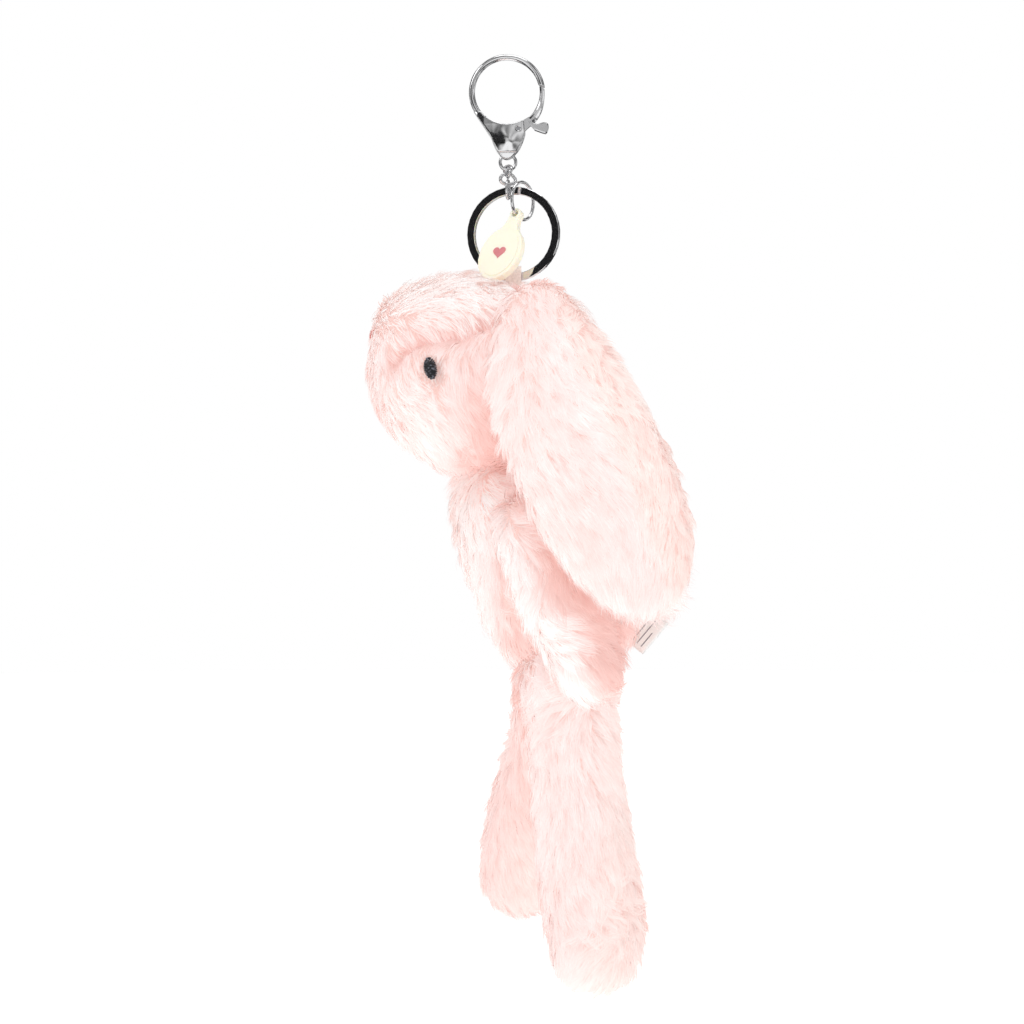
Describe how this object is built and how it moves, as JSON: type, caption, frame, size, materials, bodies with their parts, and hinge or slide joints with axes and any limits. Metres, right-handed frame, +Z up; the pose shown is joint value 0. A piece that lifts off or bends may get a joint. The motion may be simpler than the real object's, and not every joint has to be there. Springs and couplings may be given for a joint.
{
  "type": "plush rabbit keychain",
  "caption": "Long-limbed lop-eared plush rabbit that hangs by its crown from a flat split ring, a short chain and a sprung trigger clasp, with an oval tag.",
  "frame": {"origin": "inside top of the clasp's round loop, where the charm hangs", "axes": "+Z up; -Y is the rabbit's front; +X is the rabbit's left side"},
  "size_m": [0.1153, 0.0975, 0.2932],
  "materials": {
    "silver": "bright plated, polished",
    "steel": "plain drawn wire",
    "cream": "moulded, satin gloss",
    "tape": "woven tape",
    "pile_pink": "long soft pile, brushed",
    "pile_pale": "long soft pile, brushed",
    "fibre": "loose polyester fibre fill",
    "black_thread": "satin stitch embroidery",
    "rose_thread": "satin stitch embroidery",
    "satin": "woven satin label tape"
  },
  "bodies": {
    "clasp": {"clasp_frame": "silver", "clasp_pivot_pin": "steel", "clasp_spring": "steel"},
    "trigger": {"clasp_trigger": "silver"},
    "link_1": {"chain_link_1": "silver"},
    "link_2": {"chain_link_2": "silver"},
    "link_3": {"chain_link_3": "silver"},
    "link_4": {"chain_link_4": "silver"},
    "ring": {"split_ring": "silver"},
    "tag_ring": {"tag_jump_ring": "silver"},
    "tag": {"tag_disc": "cream"},
    "head": {"crown_loop": "tape", "head_cover": "pile_pink", "head_stuffing": "fibre", "eye_left": "black_thread", "eye_right": "black_thread", "nose": "rose_thread"},
    "ear_l": {"ear_left": "pile_pale"},
    "ear_r": {"ear_right": "pile_pale"},
    "torso": {"torso_cover": "pile_pink", "torso_stuffing": "fibre", "tail": "pile_pale", "care_label": "satin"},
    "arm_l": {"arm_left": "pile_pink", "arm_left_stuffing": "fibre"},
    "arm_r": {"arm_right": "pile_pink", "arm_right_stuffing": "fibre"},
    "leg_l": {"leg_left": "pile_pink", "leg_left_stuffing": "fibre"},
    "leg_r": {"leg_right": "pile_pink", "leg_right_stuffing": "fibre"}
  },
  "joints": [
    {"name": "trigger_hinge", "type": "hinge", "parent": "clasp", "child": "trigger", "pos_m": [0, 0.0036, -0.0222], "axis": [1, 0, 0], "range_deg": [0, 26], "stiffness_Nm_per_rad": 0.02, "springref_deg": -5.73, "deforming": ["clasp_spring"]},
    {"name": "link_1_swing", "type": "hinge", "parent": "clasp", "child": "link_1", "pos_m": [0, 0.0003, -0.0302], "axis": [0, 1, 0], "range_deg": [-12, 12]},
    {"name": "link_2_swing", "type": "hinge", "parent": "link_1", "child": "link_2", "pos_m": [0, 0.0003, -0.03395], "axis": [0.9272, 0.3746, 0], "range_deg": [-12, 12]},
    {"name": "link_3_swing", "type": "hinge", "parent": "link_2", "child": "link_3", "pos_m": [0, 0.0003, -0.03625], "axis": [0.5299, -0.848, 0], "range_deg": [-12, 12]},
    {"name": "link_4_swing", "type": "hinge", "parent": "link_3", "child": "link_4", "pos_m": [0, 0.0003, -0.03855], "axis": [0.9848, -0.1736, 0], "range_deg": [-12, 12]},
    {"name": "ring_swing", "type": "hinge", "parent": "link_4", "child": "ring", "pos_m": [0, 0.0003, -0.0442], "axis": [1, 0, 0], "range_deg": [-12, 12]},
    {"name": "tag_ring_swing", "type": "hinge", "parent": "ring", "child": "tag_ring", "pos_m": [0.0007, 0.005, -0.04205], "axis": [-0.2366, -0.9491, 0.2079], "range_deg": [0, 25]},
    {"name": "tag_swing", "type": "hinge", "parent": "tag_ring", "child": "tag", "pos_m": [0.00338, 0.00313, -0.05019], "axis": [0.7758, -0.4722, 0.4185], "range_deg": [-4, 10]},
    {"name": "head_swing", "type": "hinge", "parent": "ring", "child": "head", "pos_m": [0, 0.0021, -0.0696], "axis": [0.2419, 0.9703, 0], "range_deg": [-4, 12]},
    {"name": "ear_left_lift", "type": "hinge", "parent": "head", "child": "ear_l", "pos_m": [0.0225, 0.0076, -0.0765], "axis": [0, -1, 0], "range_deg": [0, 60]},
    {"name": "ear_right_lift", "type": "hinge", "parent": "head", "child": "ear_r", "pos_m": [-0.0225, 0.0076, -0.0765], "axis": [0, 1, 0], "range_deg": [0, 60]},
    {"name": "neck_bend", "type": "hinge", "parent": "head", "child": "torso", "pos_m": [0, -0.003, -0.139], "axis": [1, 0, 0], "range_deg": [-10, 10], "stiffness_Nm_per_rad": 0.25},
    {"name": "arm_left_turn", "type": "hinge", "parent": "torso", "child": "arm_l", "pos_m": [0.0256, 0.006, -0.147], "axis": [-1, 0, 0], "range_deg": [0, 75], "stiffness_Nm_per_rad": 0.01},
    {"name": "arm_right_turn", "type": "hinge", "parent": "torso", "child": "arm_r", "pos_m": [-0.0256, 0.006, -0.147], "axis": [-1, 0, 0], "range_deg": [0, 75], "stiffness_Nm_per_rad": 0.01},
    {"name": "leg_left_turn", "type": "hinge", "parent": "torso", "child": "leg_l", "pos_m": [0.014, 0.0185, -0.197], "axis": [-1, 0, 0], "range_deg": [-8, 40], "stiffness_Nm_per_rad": 0.04},
    {"name": "leg_right_turn", "type": "hinge", "parent": "torso", "child": "leg_r", "pos_m": [-0.014, 0.0185, -0.197], "axis": [-1, 0, 0], "range_deg": [-8, 40], "stiffness_Nm_per_rad": 0.04}
  ]
}
